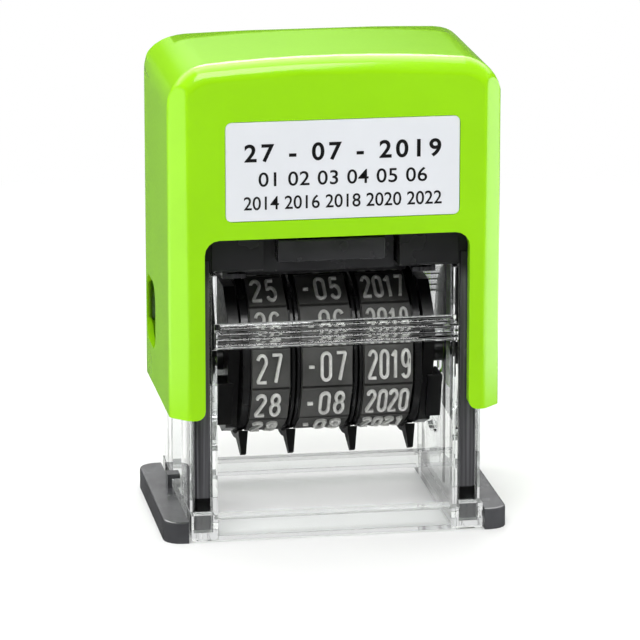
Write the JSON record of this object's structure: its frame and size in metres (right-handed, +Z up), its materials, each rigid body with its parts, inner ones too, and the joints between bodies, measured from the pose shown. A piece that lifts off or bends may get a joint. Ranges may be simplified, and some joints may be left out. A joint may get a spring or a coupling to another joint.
{
  "type": "self-inking date stamp",
  "caption": "Self-inking date stamp: a press-down cover on a clear frame, an ink pad and a turn-over carrier with number dials.",
  "frame": {"origin": "centre of the bounding box, at the underside of the feet", "axes": "+Z up along the press, -Y towards the front with the label and the dials, +X to the right"},
  "size_m": [0.0448, 0.0284, 0.0627],
  "materials": {
    "clear_plastic": "clear moulded plastic, polished",
    "foot_plastic": "dark grey, semi-gloss top",
    "dark_plastic": "near black, satin",
    "black_plastic": "black, satin",
    "ink_felt": "inked felt",
    "steel": "drawn wire and rod",
    "lime_plastic": "glossy lime green",
    "label_plate": "bare white plate",
    "band_rubber": "mid grey moulded rubber"
  },
  "bodies": {
    "frame": {"clear_frame": "clear_plastic", "foot_left": "foot_plastic", "foot_right": "foot_plastic", "inner_frame": "dark_plastic", "pad_cassette": "dark_plastic", "ink_pad": "ink_felt", "return_spring": "steel"},
    "cover": {"cover_shell": "lime_plastic", "label": "label_plate", "drive_yoke": "dark_plastic"},
    "carrier": {"cheek_left": "black_plastic", "cheek_right": "black_plastic", "divider_comb": "black_plastic", "wheel_axle": "steel"},
    "day_dial": {"day_wheel": "black_plastic", "day_band": "band_rubber"},
    "month_dial": {"month_wheel": "black_plastic", "month_band": "band_rubber"},
    "year_dial": {"year_wheel": "black_plastic", "year_band": "band_rubber"}
  },
  "joints": [
    {"name": "cover_press", "type": "slide", "parent": "frame", "child": "cover", "axis": [0, 0, -1], "range_m": [0, 0.01096], "stiffness_N_per_m": 400, "springref_m": -0.006, "deforming": ["return_spring"]},
    {"name": "carrier_flip", "type": "hinge", "parent": "cover", "child": "carrier", "pos_m": [0, 0, 0.0217], "axis": [1, 0, 0], "range_deg": [0, 180]},
    {"name": "day_turn", "type": "hinge", "parent": "carrier", "child": "day_dial", "pos_m": [-0.008, 0, 0.0217], "axis": [1, 0, 0], "continuous": true},
    {"name": "month_turn", "type": "hinge", "parent": "carrier", "child": "month_dial", "pos_m": [-0.0007, 0, 0.0217], "axis": [1, 0, 0], "continuous": true},
    {"name": "year_turn", "type": "hinge", "parent": "carrier", "child": "year_dial", "pos_m": [0.0073, 0, 0.0217], "axis": [1, 0, 0], "continuous": true}
  ],
  "couplings": [
    {"joint": "carrier_flip", "follows": "cover_press", "rad_per_m": 286.6}
  ]
}
